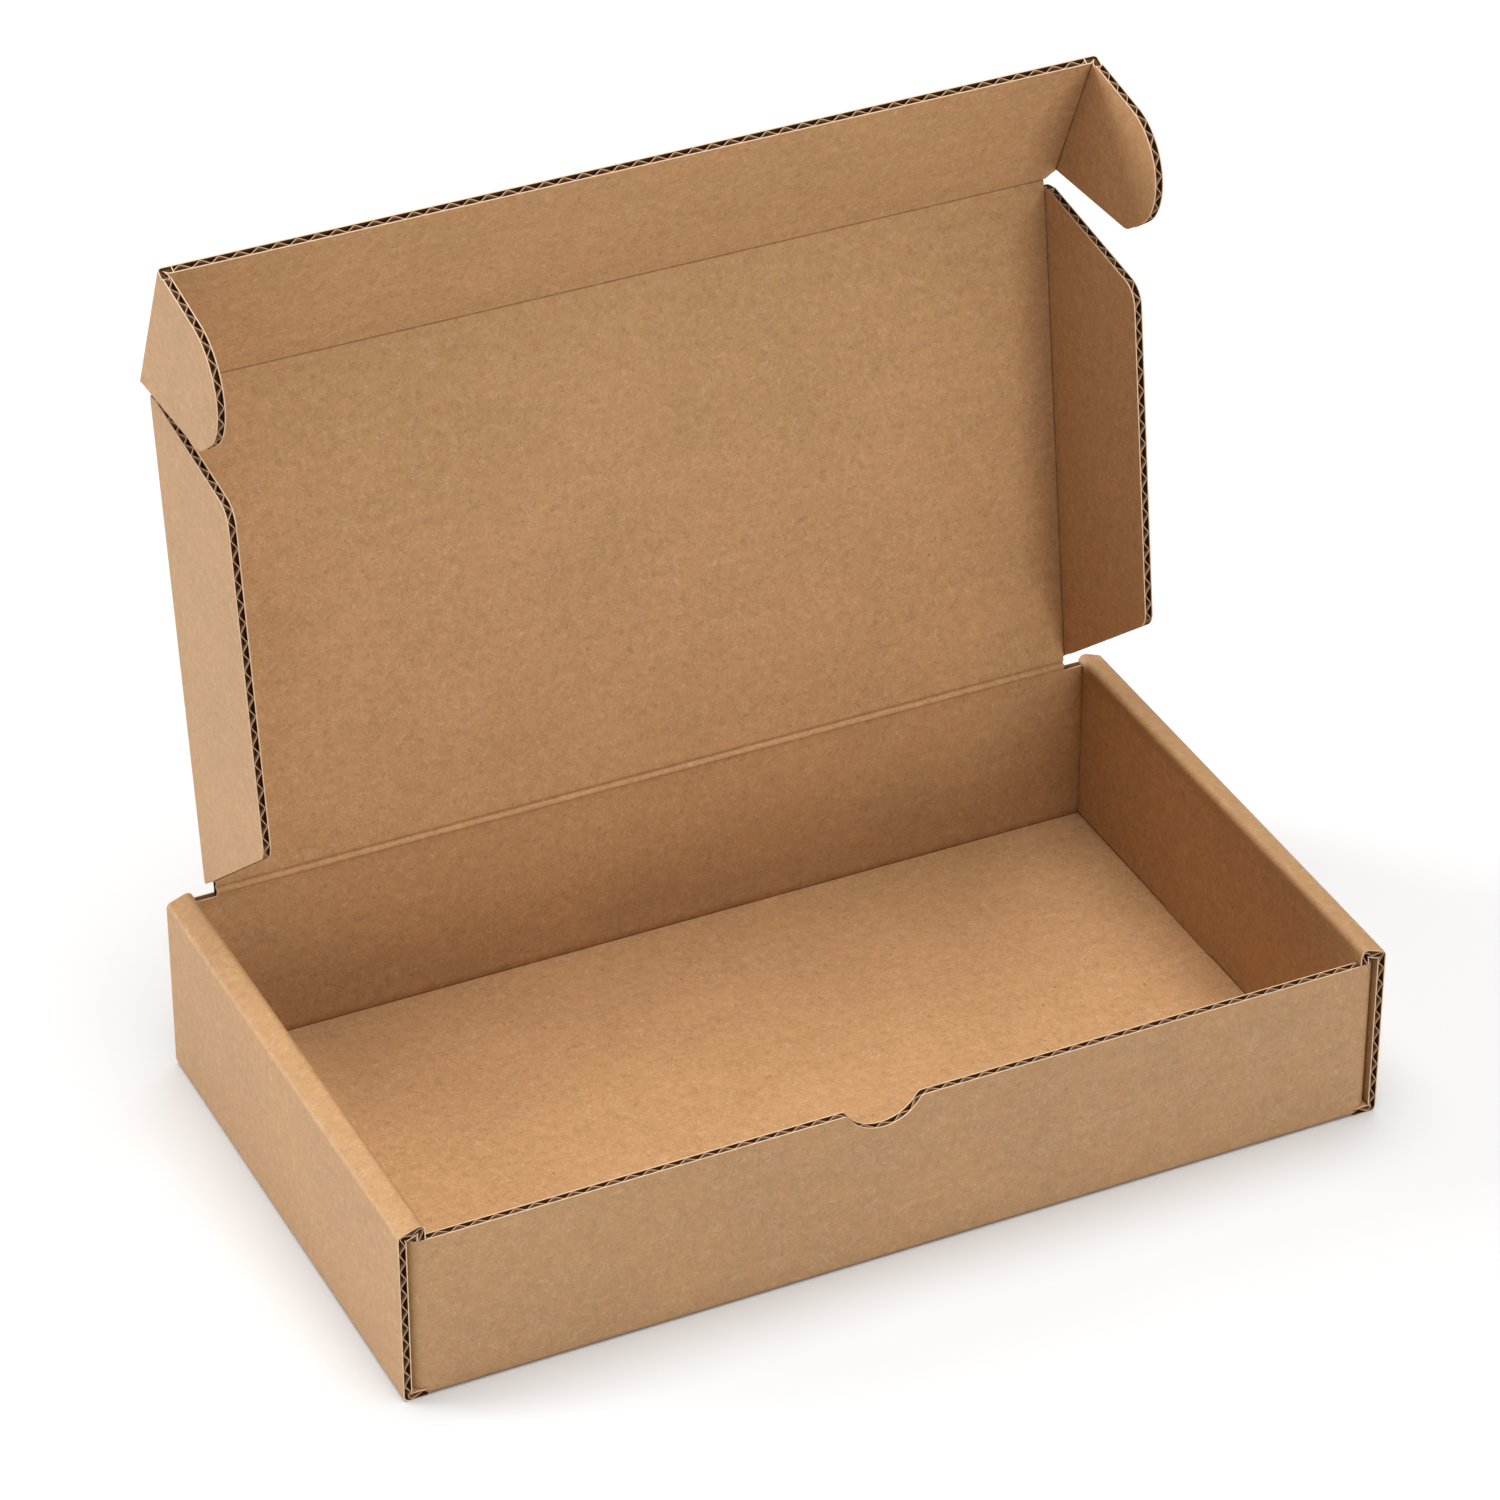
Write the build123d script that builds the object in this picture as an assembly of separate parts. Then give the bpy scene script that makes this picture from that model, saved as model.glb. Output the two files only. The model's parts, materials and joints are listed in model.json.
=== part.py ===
"""Roll-end mailer box, folded from one sheet of corrugated board, standing open.

The tray, the lid and the lid's flaps are the rigid panels of the one sheet.
Lengths are in millimetres and angles in degrees. The origin is the centre of
the base's underside, +X runs along the box to its right-hand end and +Z is up.
"""
from build123d import *
from math import cos, radians, sin, tan
import os

# The board and its folds
board = 3.0
fold_outside = 2.2
fold_inside = 0.5
crease_gap = 0.3
liner = 0.45
flute_pitch = 6.5
flute_web = 0.7
flute_depth = 1.2

# The tray
box_length = 350.0
box_depth = 196.0
side_height = 65.0
spine_rise = 3.5
roll_width = 9.4
front_height = 61.5
corner_tab_length = 55.0
lock_tab_width = 32.0
lock_tab_centre = 14.0
lock_tab_corner = 1.5
slot_clearance = 0.25

# The thumb notch in the front wall
notch_centre = -8.0
notch_width = 26.5
notch_depth = 8.2
notch_shoulder = 2.0

# The lid, its side flaps and its tuck flap
hinge_height = 67.0
lid_width = 323.0
lid_length = 182.0
side_flap_depth = 63.0
side_flap_start = 3.0
side_flap_slope = 31.0
side_flap_back_corner = 7.0
side_flap_front_corner = 8.0
side_flap_clearance = 0.9
tuck_flap_depth = 60.0
tuck_flap_root_cut = 4.0

# The ears at the ends of the tuck flap
ear_clearance = 0.3
ear_reach = 54.5
ear_round = 21.0
ear_round_height = 47.0
ear_corner = 8.5
ear_corner_height = 33.0
ear_corner_reach = 48.5

# How far each fold is bent in the open box
lid_lean = 8.0
tuck_flap_angle = 148.0
tuck_flap_closed_angle = 75.0
side_flap_fold = 90.0
ear_fold = 90.0

# Values that follow from the ones above
half_board = board / 2
panel_setback = half_board + crease_gap
roll_outside = box_length / 2
roll_inside = roll_outside - roll_width
wall_end = roll_outside - (roll_width - board) / 2
hinge_y = box_depth / 2 - half_board
back_height = hinge_height - panel_setback
tuck_over_fold = radians(90 - tuck_flap_closed_angle)
lid_front = lid_length - (panel_setback + half_board * sin(tuck_over_fold)) / cos(tuck_over_fold)
side_flap_axis = lid_width / 2 - half_board
lid_edge = side_flap_axis - panel_setback
ear_axis = lid_width / 2 + ear_clearance + half_board
tuck_flap_edge = ear_axis - panel_setback


def block(corner, opposite):
    """A box between two opposite corners."""
    size = [abs(b - a) for a, b in zip(corner, opposite)]
    centre = [(a + b) / 2 for a, b in zip(corner, opposite)]
    return Pos(*centre) * Box(*size)


def panel(outline):
    """Board of full thickness about the plane of a flat outline."""
    return extrude(outline, half_board, both=True)


def rounded_face(points, radii):
    """A closed polygon with a radius at each corner; a radius of 0 stays sharp."""
    face = make_face(Polyline(*points, close=True))
    for point, radius in zip(points, radii):
        if radius > 0:
            corner = face.vertices().sort_by_distance(Vector(*point))[0]
            face = fillet(corner, radius)
    return face


def folded_edge(length, centre):
    """The half-round edge of a panel where it turns on its crease, along Y."""
    return Pos(0, centre, 0) * Rot(90, 0, 0) * Cylinder(half_board, length)


def flute_end():
    """The open end of one flute: a blind three-sided pocket, its mouth on the X axis."""
    half_base = flute_pitch / 2 - flute_web
    crest = half_board - liner
    mouth = make_face(Polyline((-half_base, -crest), (half_base, -crest), (0, crest), close=True))
    return Pos(0, flute_depth, 0) * Rot(90, 0, 0) * extrude(mouth, 2 * flute_depth)


def raw_edge(edge, normal, inner_point):
    """The flute ends along a cut edge of the board, drawn on the board's middle plane."""
    pointing_up = flute_end()
    pointing_down = Rot(0, 180, 0) * pointing_up
    spacing = flute_pitch / 2
    count = int((edge.length - flute_pitch) / spacing)
    first = (edge.length - (count - 1) * spacing) / 2
    ends = []
    for i in range(count):
        distance = first + i * spacing
        place = Plane(
            edge.position_at(distance, position_mode=PositionMode.LENGTH),
            x_dir=edge.tangent_at(distance, position_mode=PositionMode.LENGTH),
            z_dir=normal,
        )
        if place.y_dir.dot(Vector(*inner_point) - place.origin) < 0:
            place = place * Rot(180, 0, 0)
        ends.append(place * (pointing_up if i % 2 else pointing_down))
    return ends


def free_outline(outline):
    """The edges of a flap's outline away from its crease on the Y axis, as one wire."""
    return Wire([edge for edge in outline.edges() if edge.center().X > board])


def base_and_walls():
    """Base, front wall and back wall: one U-shaped fold, without its turned-in ends."""
    front, back = -box_depth / 2, box_depth / 2
    outside = rounded_face(
        [(front, 0), (back, 0), (back, back_height), (front, back_height)],
        [fold_outside, fold_outside, 0, 0],
    )
    inside = rounded_face(
        [(front + board, board), (back - board, board),
         (back - board, back_height), (front + board, back_height)],
        [fold_inside, fold_inside, 0, 0],
    )
    straight = wall_end - fold_outside - board
    shell = extrude(Plane.YZ * (outside - inside), straight, both=True)
    above_front = block(
        (-box_length, front - board, front_height),
        (box_length, front + 2 * board, back_height + board),
    )
    beside_back = [
        block(
            (side * (roll_inside - crease_gap), back - 2 * board, front_height),
            (side * box_length, back + board, back_height + board),
        )
        for side in (-1, 1)
    ]
    return shell - above_front - beside_back[0] - beside_back[1]


def corner_tab(side, end):
    """The end of a front or back wall, turned back into the hollow of a side wall."""
    outer_x, outer_y = side * wall_end, end * box_depth / 2
    start = side * (wall_end - fold_outside - board - crease_gap)
    inner_x, inner_y = outer_x - side * board, outer_y - end * board
    tip = outer_y - end * corner_tab_length
    points = [(start, outer_y), (outer_x, outer_y), (outer_x, tip), (inner_x, tip),
              (inner_x, inner_y), (start, inner_y)]
    radii = [0, fold_outside + half_board, 0, 0, fold_inside, 0]
    plan = rounded_face(points, radii)
    foot = board + crease_gap
    return Pos(0, 0, foot) * extrude(plan, front_height - foot)


def side_roll():
    """The right-hand side wall: up outside, over a slanting spine and down inside."""
    top = side_height + spine_rise
    ring = [(roll_outside, 0), (roll_outside, side_height), (roll_inside, top), (roll_inside, 0)]
    outside = rounded_face(ring, [fold_outside, fold_outside, fold_outside, 0])
    hollow = offset(make_face(Polyline(*ring, close=True)), -board, kind=Kind.INTERSECTION)
    wall = extrude(Plane.XZ * (outside - hollow), box_depth / 2, both=True)
    inner_foot = block(
        (roll_inside - board, -box_depth, board),
        (roll_inside + board + slot_clearance, box_depth, board + crease_gap),
    )
    wall -= inner_foot
    for end in (-1, 1):
        wall_line = end * (box_depth / 2 - board - crease_gap)
        wall -= block(
            (roll_inside - board, wall_line, board),
            (roll_outside - board, end * box_depth, front_height + crease_gap),
        )
    return wall - roll_flutes(-1) - roll_flutes(1)


def roll_flutes(end):
    """Flute ends on the right-hand roll's outer panel and spine, at its front or back end."""
    spine = Vector(-roll_width, spine_rise).normalized()
    under = Vector(spine.Y, -spine.X) * -half_board
    y = end * box_depth / 2
    outer_x = roll_outside - half_board
    outer_panel = Line((outer_x, y, fold_outside + board), (outer_x, y, side_height - fold_outside))
    outer_corner = Vector(roll_outside, side_height) + under
    inner_corner = Vector(roll_inside, side_height + spine_rise) + under
    spine_panel = Line((outer_corner.X, y, outer_corner.Y), (inner_corner.X, y, inner_corner.Y))
    return (raw_edge(outer_panel, (1, 0, 0), (outer_x, 0, half_board))
            + raw_edge(spine_panel, (under.X, 0, under.Y), (outer_x, 0, side_height)))


def front_wall_flutes():
    """Flute ends along the front wall's top edge, on both sides of the thumb notch."""
    y = half_board - box_depth / 2
    beside_notch = notch_width / 2 + 2 * notch_shoulder
    stretches = [
        Line((-roll_inside, y, front_height), (notch_centre - beside_notch, y, front_height)),
        Line((notch_centre + beside_notch, y, front_height), (roll_inside, y, front_height)),
    ]
    return [end for edge in stretches for end in raw_edge(edge, (0, 1, 0), (0, y, 0))]


def lock_slot():
    """The slot in the base for the right-hand lock tab."""
    return block(
        (roll_inside - slot_clearance, lock_tab_centre - lock_tab_width / 2 - slot_clearance, -board),
        (roll_inside + board + slot_clearance,
         lock_tab_centre + lock_tab_width / 2 + slot_clearance, board + crease_gap),
    )


def lock_tab():
    """The tab at the foot of the right-hand inner panel, down through the base."""
    half = lock_tab_width / 2
    top = board + 2 * crease_gap
    outline = rounded_face(
        [(lock_tab_centre - half, crease_gap), (lock_tab_centre + half, crease_gap),
         (lock_tab_centre + half, top), (lock_tab_centre - half, top)],
        [lock_tab_corner, lock_tab_corner, 0, 0],
    )
    return Pos(roll_inside, 0, 0) * extrude(Plane.YZ * outline, board)


def thumb_notch():
    """A half-moon with rounded shoulders, cut down through the front wall's top edge."""
    half = notch_width / 2
    radius = (half**2 + notch_depth**2) / (2 * notch_depth)
    moon = Pos(0, radius - notch_depth) * Circle(radius)
    shoulder_y = -notch_shoulder
    spread = ((radius + notch_shoulder) ** 2 - (radius - notch_depth - shoulder_y) ** 2) ** 0.5
    touch = radius / (radius + notch_shoulder)
    flare = make_face(Polyline(
        (-spread, 0), (spread, 0),
        (spread * touch, shoulder_y + (radius - notch_depth - shoulder_y) * (1 - touch)),
        (-spread * touch, shoulder_y + (radius - notch_depth - shoulder_y) * (1 - touch)),
        close=True,
    ))
    shoulders = [Pos(side * spread, shoulder_y) * Circle(notch_shoulder) for side in (-1, 1)]
    below = Pos(0, -box_depth / 2) * Rectangle(box_length, box_depth)
    opening = (moon & below) + (flare - shoulders[0] - shoulders[1])
    place = Pos(notch_centre, -box_depth / 2 - board, front_height) * Rot(90, 0, 0)
    return place * extrude(opening, -3 * board)


def tray():
    """Base, four walls, corner tabs and lock tabs: one folded sheet."""
    roll = side_roll()
    solid = base_and_walls() + roll + mirror(roll, Plane.YZ)
    slot = lock_slot()
    solid = solid - slot - mirror(slot, Plane.YZ)
    tab = lock_tab()
    solid = solid + tab + mirror(tab, Plane.YZ)
    for side in (-1, 1):
        for end in (-1, 1):
            solid += corner_tab(side, end)
    return solid - thumb_notch() - front_wall_flutes()


def lid_panel():
    """The lid, flat, with its back crease on the X axis."""
    sheet = panel(Pos(0, lid_front / 2) * Rectangle(2 * lid_edge, lid_front))
    return sheet + Rot(0, 90, 0) * Cylinder(half_board, 2 * lid_edge)


def side_flap():
    """A lid side flap, flat, with its crease on the Y axis."""
    front = lid_length - half_board / cos(tuck_over_fold) - side_flap_clearance
    front_tip = front - side_flap_depth * tan(tuck_over_fold)
    back_tip = side_flap_start + side_flap_depth * tan(radians(side_flap_slope))
    outline = rounded_face(
        [(0, side_flap_start), (side_flap_depth, back_tip), (side_flap_depth, front_tip), (0, front)],
        [0, side_flap_back_corner, side_flap_front_corner, 0],
    )
    length = front - side_flap_start
    flap = panel(outline) + folded_edge(length, side_flap_start + length / 2)
    return flap - raw_edge(free_outline(outline), (0, 0, 1), (half_board, lid_length / 2, 0))


def tuck_flap():
    """The lid's front flap, flat, with its crease on the X axis."""
    outline = make_face(Polyline(
        (-lid_edge, 0), (lid_edge, 0), (tuck_flap_edge, tuck_flap_root_cut),
        (tuck_flap_edge, tuck_flap_depth), (-tuck_flap_edge, tuck_flap_depth),
        (-tuck_flap_edge, tuck_flap_root_cut), close=True,
    ))
    flap = panel(outline) + Rot(0, 90, 0) * Cylinder(half_board, 2 * lid_edge)
    front = Line((-tuck_flap_edge, tuck_flap_depth), (tuck_flap_edge, tuck_flap_depth))
    return flap - raw_edge(front, (0, 0, 1), (0, 0, 0))


def ear():
    """An ear of the tuck flap, flat, with its crease on the Y axis."""
    crease = Line((0, tuck_flap_root_cut), (0, tuck_flap_depth))
    big = Pos(ear_reach - ear_round, ear_round_height) * Circle(ear_round)
    small = Pos(ear_corner_reach - ear_corner, ear_corner_height) * Circle(ear_corner)
    outline = make_hull([crease] + big.edges() + small.edges())
    length = tuck_flap_depth - tuck_flap_root_cut
    flap = panel(outline) + folded_edge(length, tuck_flap_root_cut + length / 2)
    return flap - raw_edge(free_outline(outline), (0, 0, 1), (half_board, ear_round_height, 0))


def on_right(piece, axis_x, fold):
    """Set a flat flap on its crease at the right-hand end, bent by fold."""
    return Pos(axis_x, 0, 0) * Rot(0, -fold, 0) * piece


def on_left(piece, axis_x, fold):
    """Set a flat flap on its crease at the left-hand end, bent by fold."""
    return Pos(-axis_x, 0, 0) * Rot(0, 180 + fold, 0) * piece


lid_place = Pos(0, hinge_y, hinge_height) * Rot(90 - lid_lean, 0, 0)
tuck_flap_place = lid_place * Pos(0, lid_length, 0) * Rot(180 - tuck_flap_angle, 0, 0)

nodes = {
    "tray": tray(),
    "lid_panel": lid_place * lid_panel(),
    "lid_side_flap_left": lid_place * on_left(side_flap(), side_flap_axis, side_flap_fold),
    "lid_side_flap_right": lid_place * on_right(side_flap(), side_flap_axis, side_flap_fold),
    "front_tuck_flap": tuck_flap_place * tuck_flap(),
    "ear_left": tuck_flap_place * on_left(ear(), ear_axis, ear_fold),
    "ear_right": tuck_flap_place * on_right(ear(), ear_axis, ear_fold),
}

os.makedirs("parts", exist_ok=True)
for name, shape in nodes.items():
    export_step(shape, f"parts/{name}.step")
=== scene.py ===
"""The mailer box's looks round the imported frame: liners, fluted edges, creases and a studio.

Lengths are in metres. Each flat panel is drawn in its own plane: local X and Y lie
in the panel and local Z points to the inner liner, the one that faces the goods.
"""
import json
from collections import namedtuple
from math import asin, atan2, cos, pi, radians, sin, tan

import bmesh
import bpy
from bpy.props import FloatProperty, FloatVectorProperty, IntProperty, PointerProperty
from mathutils import Matrix, Vector, geometry


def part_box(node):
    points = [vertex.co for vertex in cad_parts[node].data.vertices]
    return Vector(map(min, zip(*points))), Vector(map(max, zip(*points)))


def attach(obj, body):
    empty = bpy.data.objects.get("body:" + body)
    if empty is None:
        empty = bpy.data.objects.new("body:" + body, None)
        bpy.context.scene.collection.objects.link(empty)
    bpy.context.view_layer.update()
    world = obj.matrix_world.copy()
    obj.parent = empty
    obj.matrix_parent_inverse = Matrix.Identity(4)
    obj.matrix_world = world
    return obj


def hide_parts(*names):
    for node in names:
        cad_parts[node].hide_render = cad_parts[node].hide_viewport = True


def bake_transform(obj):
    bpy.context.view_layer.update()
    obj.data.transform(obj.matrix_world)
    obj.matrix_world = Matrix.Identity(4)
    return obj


bl_info = {
    "name": "Mailer Box Looks",
    "version": (1, 0, 0),
    "blender": (4, 5, 0),
    "location": "3D View > Sidebar > Mailer",
    "description": "Board, fluted edges, creases and studio for a mailer box",
    "category": "Object",
}

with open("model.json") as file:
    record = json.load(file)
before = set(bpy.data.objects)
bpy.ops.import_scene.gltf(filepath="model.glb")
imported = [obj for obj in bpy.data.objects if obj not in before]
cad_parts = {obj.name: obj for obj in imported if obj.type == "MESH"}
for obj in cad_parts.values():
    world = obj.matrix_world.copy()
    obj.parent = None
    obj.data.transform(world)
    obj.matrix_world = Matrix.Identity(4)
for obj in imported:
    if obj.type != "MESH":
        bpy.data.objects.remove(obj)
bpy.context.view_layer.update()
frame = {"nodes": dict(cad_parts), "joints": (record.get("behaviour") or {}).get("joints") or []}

# The board's papers by material slot, and those met across a cut edge from inside to outside; the
# last slot is painted shade, a near-black brown laid on the recessed faces between the liners where
# the flutes' hollows lie in shade
PAPERS = ("Inner liner", "Outer liner", "Cut liner", "Flute hollow")
INNER, OUTER, CUT, PAINTED_HOLLOW_SHADE = range(4)
EDGE_PAPERS = (CUT, PAINTED_HOLLOW_SHADE, PAINTED_HOLLOW_SHADE, PAINTED_HOLLOW_SHADE, CUT)

# Edges that turn more than this are drawn sharp
SHARP_TURN = radians(32)
# Creases folded more than this are pinched on their inner side
STEEP_FOLD = radians(20)
# The same point, or a point in line, in an outline
SAME_POINT = 0.00004
IN_LINE = 0.002
# Edges of an outline that turn less than this are taken as one straight line
STRAIGHT_ON = 1e-4
# Points of a shell that are closer than this are one
MERGE = 1e-7
# How many steps draw a bend, a crease, and the thumb notch's shoulders and bowl
BEND_STEPS = 6
CREASE_STEPS = 8
SHOULDER_STEPS = 6
BOWL_STEPS = 24
# Where a crease's cross-section has points, as shares of its reach
CREASE_SHARES = (1, 0.75, 0.58, 0.48, 0.38, 0.3, 0.23, 0.16, 0.09)
# The lid crease's ridge and groove: centre, width and height across the crease
LID_CREASE_RELIEF = ((-0.0002, 0.0006, 0.0005), (0.0012, 0.0004, -0.0007))

# What the frame gives: the tray's box, the hinge lines and the panels' planes
TRAY_LOW, TRAY_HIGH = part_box("tray")
HINGES = {joint["name"]: joint for joint in frame["joints"]}
HINGE_LINE = Vector(HINGES["lid_hinge"]["pos_m"])
TUCK_LINE = Vector(HINGES["tuck_flap_hinge"]["pos_m"])
X_AXIS, Y_AXIS, Z_AXIS = Vector((1, 0, 0)), Vector((0, 1, 0)), Vector((0, 0, 1))
SIDES = ((-1, "left"), (1, "right"))
LID_UP = Vector(HINGES["side_flap_left_hinge"]["axis"]).normalized()
TUCK_UP = Vector(HINGES["ear_left_hinge"]["axis"]).normalized()
LID_INNER = X_AXIS.cross(LID_UP)
TUCK_INNER = X_AXIS.cross(TUCK_UP)
SIDE_CREASE = HINGES["side_flap_right_hinge"]["pos_m"][0]
EAR_CREASE = HINGES["ear_right_hinge"]["pos_m"][0]
LID_LENGTH = (TUCK_LINE - HINGE_LINE).length
LID_HALF_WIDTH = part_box("lid_panel")[1].x

# A cut edge: its middle line, and at each point the ways across and into the board
RawPath = namedtuple("RawPath", "points across inward")

# The kraft paper's fibres: (scale, shift) of each layer, pale ones first, and their colours
FIBRE_LAYERS = ((300.0, 0.0), (420.0, 4.1), (340.0, 9.7), (520.0, 15.2))
PALE_FIBRE = (0.80, 0.60, 0.42, 1)
DARK_FIBRE = (0.17, 0.08, 0.03, 1)
FLECK = (0.14, 0.06, 0.025, 1)

# How far the medium's sine is pushed towards a zigzag with rounded tips, the size of its
# unevenness, and how far its edge stands back from the cut as a share of its crest
ZIGZAG = 0.94
UNEVEN_SCALE = 90.0
STAND_BACK = 0.1

# The studio
FLOOR_RADIUS = 12.0
FLOOR_DROP = 0.0001
FLOOR_GREY = 0.67
SENSOR_WIDTH = 36.0
LAMPS = (
    # name, direction in which it is seen, spread in degrees, property that holds its strength
    ("key lamp", (0.1, 0.1, 2.2), 55, "key"),
    ("high front lamp", (0.2, -1.4, 1.7), 42, "high"),
    ("low front lamp", (0.3, -2.0, 0.26), 14, "front"),
    ("side lamp", (-1.33, 0.9, 0.52), 32, "side"),
)


def millimetres(name, text, default):
    """A length property whose default is given in millimetres."""
    return FloatProperty(name=name, description=text, default=default / 1000, unit="LENGTH",
                         precision=5)


def colour(name, text, default):
    """A colour property in linear light."""
    return FloatVectorProperty(name=name, description=text, default=default, subtype="COLOR",
                               size=3)


def angle(name, text, default):
    """An angle property whose default is given in degrees."""
    return FloatProperty(name=name, description=text, default=radians(default), subtype="ANGLE")


def number(name, text, default):
    """A plain number property."""
    return FloatProperty(name=name, description=text, default=default)


class MailerBoard(bpy.types.PropertyGroup):
    """The board, its liners, its flutes and how it bends."""

    thickness: millimetres("Board", "Thickness of the board over both liners", 3.0)
    liner: millimetres("Liner", "Thickness of each paper liner", 0.38)
    medium: millimetres("Medium", "Thickness of the wavy paper", 0.3)
    flute_pitch: millimetres("Flute pitch", "Distance from one flute to the next", 6.5)
    flute_depth: millimetres("Flute depth", "How far a cut edge can be seen into", 2.4)
    crease_reach: millimetres("Crease reach", "How far a crease softens each panel", 3.5)
    fold_outside: millimetres("Outside bend", "Radius of a fold's outer side", 2.2)
    tab_bend: millimetres("Tab bend", "Radius of the outer side of the corner tabs' folds", 5.0)
    slit_width: millimetres("Slit width", "Width of the dark line inside a fold", 0.7)
    slit_depth: millimetres("Slit depth", "Depth of the dark line inside a fold", 0.7)
    gap: millimetres("Gap", "Clearance between panels that lie side by side", 0.3)
    panel_gap: millimetres("Panel gap", "Dark gap round the side walls' inner panels", 0.8)


class MailerTray(bpy.types.PropertyGroup):
    """The tray's walls and its thumb notch."""

    side_height: millimetres("Side height", "Height of the outer side panels", 65.0)
    spine_rise: millimetres("Spine rise", "Rise of the spine towards its inner fold", 3.5)
    roll_width: millimetres("Roll width", "Width of a rolled side wall over both panels", 9.4)
    front_height: millimetres("Front height", "Height of the front wall", 61.5)
    back_height: millimetres("Back height", "Height of the back wall beside the lid", 65.2)
    bend_height: millimetres("Bend height", "Height above which the walls are flat", 6.0)
    corner_tab_length: millimetres("Corner tab", "Length of the tabs inside the side walls", 55.0)
    lock_tab_width: millimetres("Lock tab width", "Width of the tab through the base", 32.0)
    lock_tab_centre: millimetres("Lock tab centre", "Place of the tab along the side wall", 14.0)
    slot_clearance: millimetres("Slot clearance", "Play round the lock tab in its slot", 0.25)
    notch_centre: millimetres("Notch centre", "Place of the thumb notch along the front wall", -8.0)
    notch_width: millimetres("Notch width", "Width of the thumb notch at its mouth", 26.5)
    notch_depth: millimetres("Notch depth", "Depth of the thumb notch", 8.2)
    notch_shoulder: millimetres("Notch shoulder", "Radius where the notch meets the edge", 2.0)


class MailerPaper(bpy.types.PropertyGroup):
    """The colours and the grain of the paper, in linear light, and the painted shade of the flutes'
    hollows.
    """

    outer_liner: colour("Outer liner", "Paper on the outside of the box", (0.393, 0.217, 0.091))
    inner_liner: colour("Inner liner", "Paper on the inside of the box", (0.473, 0.270, 0.128))
    cut_liner: colour("Cut liner", "The liners' pale cut edges", (0.66, 0.47, 0.31))
    medium: colour("Medium", "The wavy paper in the cut edges", (0.45, 0.27, 0.15))
    # Painted shade: this near-black brown stands for the shade inside the flutes' hollows, on the
    # recessed faces of cut edges and crease ends
    hollow: colour("Hollow", "The dark between the flutes", (0.10, 0.045, 0.018))
    grain: FloatProperty(name="Grain", description="Strength of the fibre grain", default=1.35,
                         min=0, max=2)
    seed: IntProperty(name="Seed", description="Seed of the uneven flutes", default=4)


class MailerStudio(bpy.types.PropertyGroup):
    """The camera, the lamps and the floor."""

    azimuth: angle("Azimuth", "Camera's angle round the box", -25.54)
    elevation: angle("Elevation", "Camera's angle above the floor", 33.95)
    distance: millimetres("Distance", "From the camera to its target", 2176.5)
    target: FloatVectorProperty(name="Target", description="The point in the middle of the picture",
                                default=(0.05563, 0.13401, 0.03779), subtype="XYZ", unit="LENGTH")
    focal_length: number("Focal length", "In millimetres on a 36 mm sensor", 149.25)
    sky: number("Sky", "Brightness of the white surroundings", 0.17)
    key: number("Key lamp", "Strength of the large lamp overhead", 3.3)
    high: number("High front lamp", "Strength of the lamp above the camera", 0.62)
    front: number("Low front lamp", "Strength of the lamp low in front", 0.88)
    side: number("Side lamp", "Strength of the lamp behind on the left", 2.6)


# Materials


FLOAT, COLOUR, GEOMETRY = "NodeSocketFloat", "NodeSocketColor", "NodeSocketGeometry"


def node_group(name, tree_type, inputs, outputs):
    """An empty node group with named sockets: (name, type, default or None) and (name, type)."""
    group = bpy.data.node_groups.new(name, tree_type)
    for label, kind, default in inputs:
        socket = group.interface.new_socket(label, in_out="INPUT", socket_type=kind)
        if default is not None:
            socket.default_value = default
    for label, kind in outputs:
        group.interface.new_socket(label, in_out="OUTPUT", socket_type=kind)
    start = group.nodes.new("NodeGroupInput")
    end = group.nodes.new("NodeGroupOutput")
    return group, start, end


class Wiring:
    """Short calls that add nodes to a tree and link them."""

    def __init__(self, tree):
        self.tree = tree

    def add(self, kind, inputs=None, **options):
        """Adds a node; an input is a value or another node's output socket."""
        node = self.tree.nodes.new(kind)
        for name, value in options.items():
            setattr(node, name, value)
        for name, value in (inputs or {}).items():
            self.feed(node.inputs[name], value)
        return node

    def feed(self, socket, value):
        """Gives an input a value or another node's output socket."""
        if isinstance(value, bpy.types.NodeSocket):
            self.tree.links.new(value, socket)
        else:
            socket.default_value = value

    def math(self, operation, first, second=0.0):
        return self.add("ShaderNodeMath", {0: first, 1: second}, operation=operation).outputs[0]

    def plus(self, first, second):
        return self.math("ADD", first, second)

    def minus(self, first, second):
        return self.math("SUBTRACT", first, second)

    def times(self, first, second):
        return self.math("MULTIPLY", first, second)

    def noise(self, place, scale, detail=3.0, roughness=0.6, distortion=0.0):
        node = self.add("ShaderNodeTexNoise", {"Vector": place, "Scale": scale, "Detail": detail,
                                               "Roughness": roughness, "Distortion": distortion})
        return node.outputs["Fac"]

    def stretch(self, place, scale):
        return self.add("ShaderNodeMapping", {"Vector": place, "Scale": scale}).outputs["Vector"]

    def ramp(self, value, low, high):
        """A smooth step from 0 at low to 1 at high."""
        node = self.add("ShaderNodeMapRange", {"Value": value, "From Min": low, "From Max": high},
                        interpolation_type="SMOOTHSTEP")
        return node.outputs["Result"]

    def vector(self, operation, first, second):
        node = self.add("ShaderNodeVectorMath", {0: first, 1: second}, operation=operation)
        return node.outputs["Vector"]

    def mix(self, factor, first, second):
        node = self.add("ShaderNodeMix", data_type="RGBA")
        self.feed(node.inputs["Factor"], factor)
        self.feed(node.inputs[6], first)
        self.feed(node.inputs[7], second)
        return node.outputs[2]


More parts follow.
